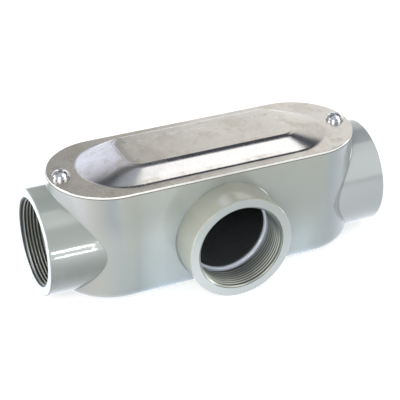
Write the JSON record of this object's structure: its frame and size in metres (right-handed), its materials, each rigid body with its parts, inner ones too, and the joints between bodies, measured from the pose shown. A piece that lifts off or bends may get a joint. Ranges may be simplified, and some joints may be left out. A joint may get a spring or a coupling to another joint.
{
  "type": "conduit body",
  "caption": "T-form conduit body: cast box with threaded hubs at both ends and on one side, bushing stops, gasket and a pressed cover with a raised panel held by domed screws.",
  "frame": {"origin": "middle of the flat back, under the crossing of the hub axes", "axes": "+X along the body from the left hub to the right hub, -Y towards the branch hub, +Z towards the cover"},
  "size_m": [0.2414, 0.101, 0.0885],
  "materials": {
    "painted_casting": "gloss",
    "gasket_rubber": "matte",
    "pressed_steel": "satin",
    "zinc_washer": "satin",
    "zinc_screw": "polished"
  },
  "bodies": {
    "casting": {"body_casting": "painted_casting", "cover_gasket": "gasket_rubber"},
    "cover": {"cover_plate": "pressed_steel", "left_screw_washer": "zinc_washer", "right_screw_washer": "zinc_washer"},
    "left_screw": {"left_cover_screw": "zinc_screw"},
    "right_screw": {"right_cover_screw": "zinc_screw"}
  },
  "joints": [
    {"name": "cover_lift", "type": "slide", "parent": "casting", "child": "cover", "axis": [0, 0, 1], "range_m": [0, 0.06]},
    {"name": "left_screw_turn", "type": "hinge", "parent": "cover", "child": "left_screw", "pos_m": [-0.0993, 0, 0.0817], "axis": [0, 0, 1], "continuous": true},
    {"name": "right_screw_turn", "type": "hinge", "parent": "cover", "child": "right_screw", "pos_m": [0.0993, 0, 0.0817], "axis": [0, 0, 1], "continuous": true}
  ]
}
